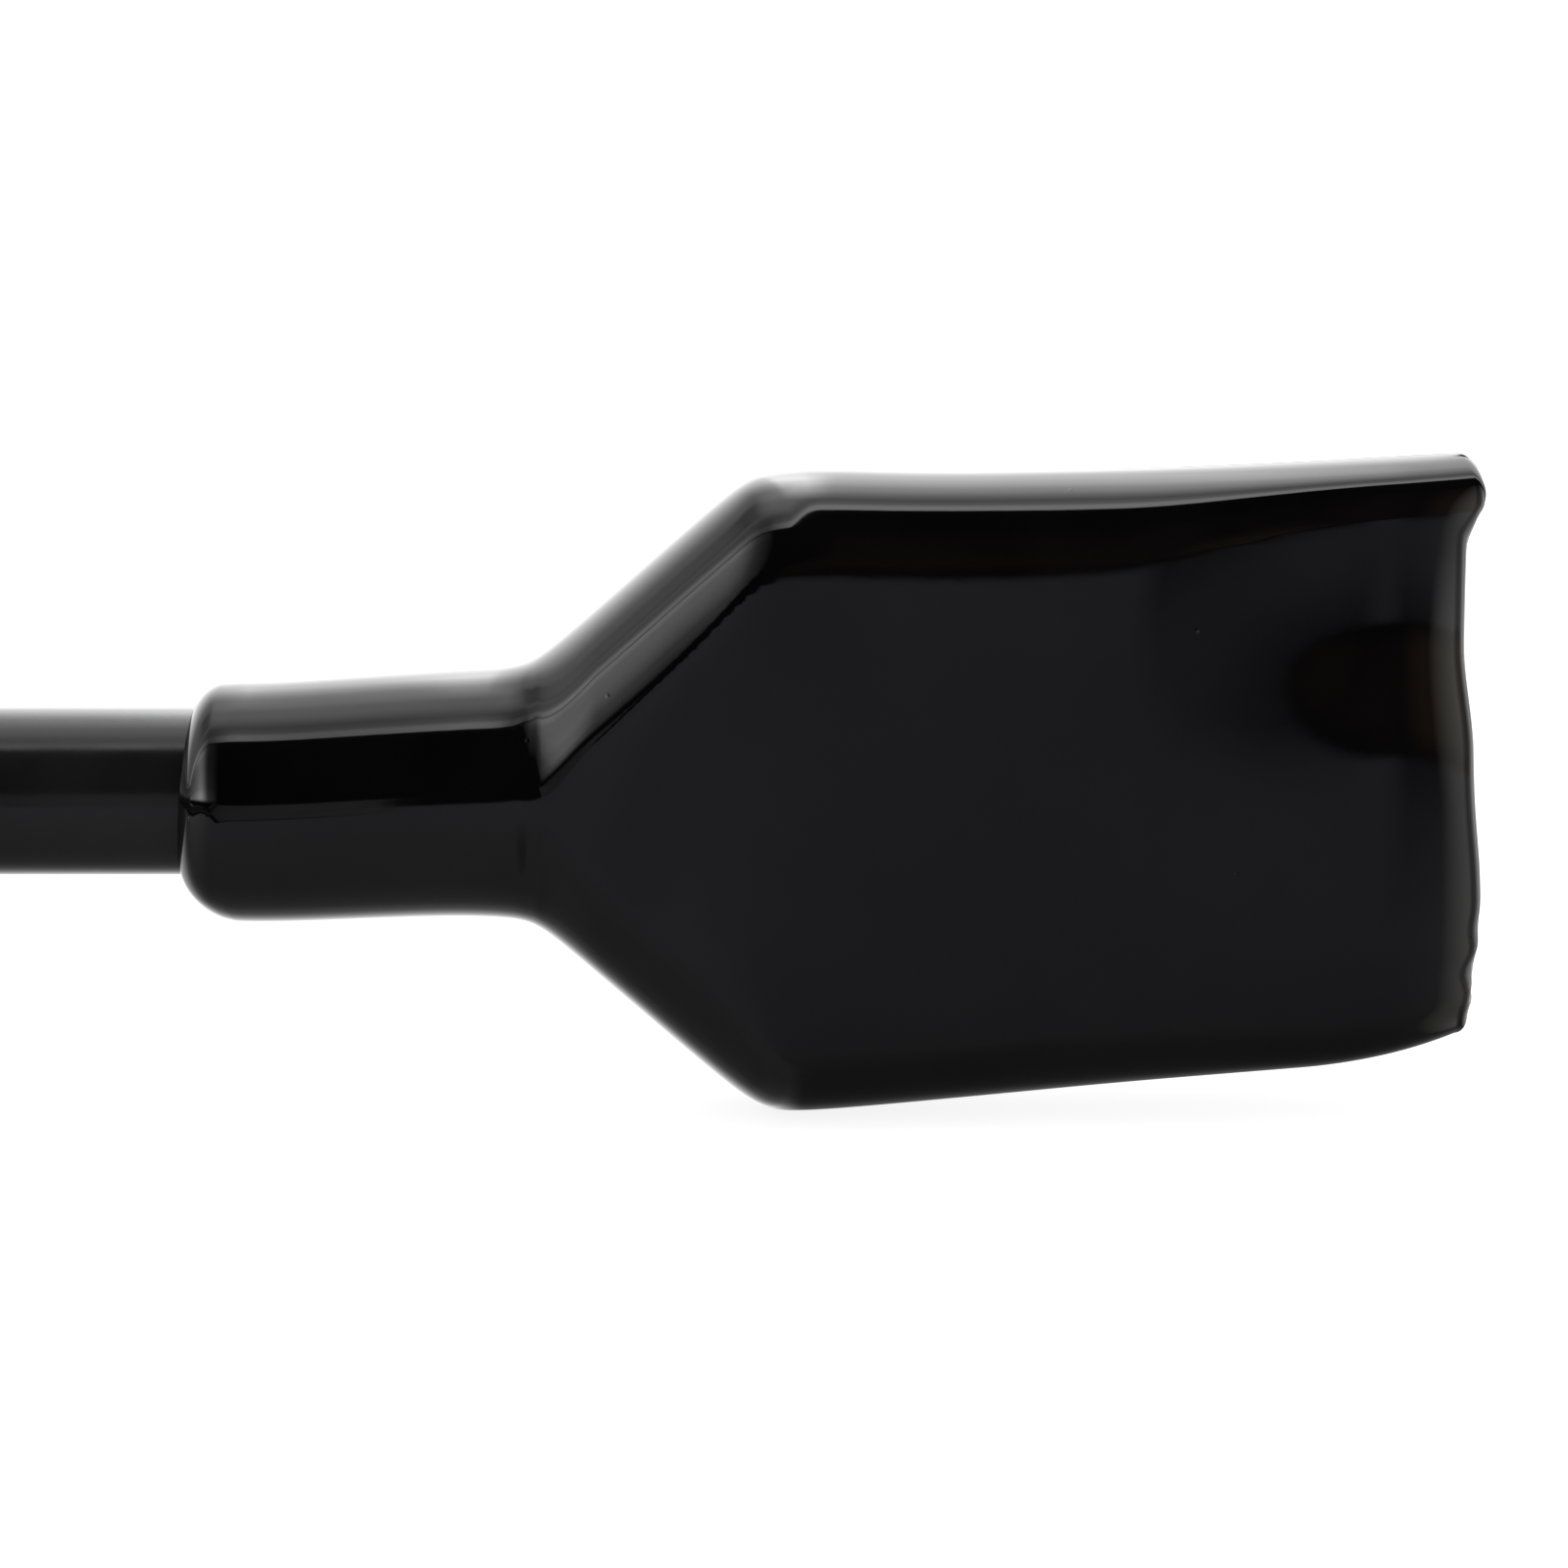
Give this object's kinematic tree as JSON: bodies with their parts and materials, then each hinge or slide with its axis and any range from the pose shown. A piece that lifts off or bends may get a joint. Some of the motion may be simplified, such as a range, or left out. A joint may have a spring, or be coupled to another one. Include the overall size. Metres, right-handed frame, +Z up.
{
  "type": "leaf grabber",
  "caption": "Scissor-action leaf grabber: two bent tubes crossed on a bolt, with hollow vinyl-covered hands that close palm to palm and dipped grips.",
  "frame": {"origin": "under the middle of the tool's bounding box at rest, level with the hands' lower edges", "axes": "+X from the grips to the hands along the line between the two arms, +Z up along the pivot bolt"},
  "size_m": [0.6392, 0.4602, 0.0993],
  "materials": {
    "dipped_vinyl": "glossy dip-moulded black vinyl",
    "grip_vinyl": "glossy dip-moulded black vinyl",
    "satin_paint": "satin black paint on steel tube",
    "galvanised": "galvanised",
    "zinc": "bright zinc plated",
    "nylon": "matte black nylon",
    "black_plastic": "fine matte",
    "fibre": "pressed fibre"
  },
  "bodies": {
    "arm_a": {"arm_tube_a": "satin_paint", "frame_socket_a": "galvanised", "frame_rails_a": "galvanised", "socket_rivets_a": "zinc", "rail_plugs_a": "black_plastic", "hand_shell_a": "dipped_vinyl", "hand_grip_a": "grip_vinyl", "hang_cap_a": "black_plastic", "pivot_bush_a": "nylon", "saddle_cap_a": "nylon", "pivot_bolt": "zinc", "lock_nut": "zinc", "head_washer": "zinc", "nut_washer": "zinc", "friction_washer": "fibre"},
    "arm_b": {"arm_tube_b": "satin_paint", "frame_socket_b": "galvanised", "frame_rails_b": "galvanised", "socket_rivets_b": "zinc", "rail_plugs_b": "black_plastic", "hand_shell_b": "dipped_vinyl", "hand_grip_b": "grip_vinyl", "hang_cap_b": "black_plastic", "pivot_bush_b": "nylon", "saddle_cap_b": "nylon"}
  },
  "joints": [
    {"name": "arm_pivot", "type": "hinge", "parent": "arm_a", "child": "arm_b", "pos_m": [-0.032, 0, 0.0485], "axis": [0, 0, 1], "range_deg": [-20, 60]}
  ]
}
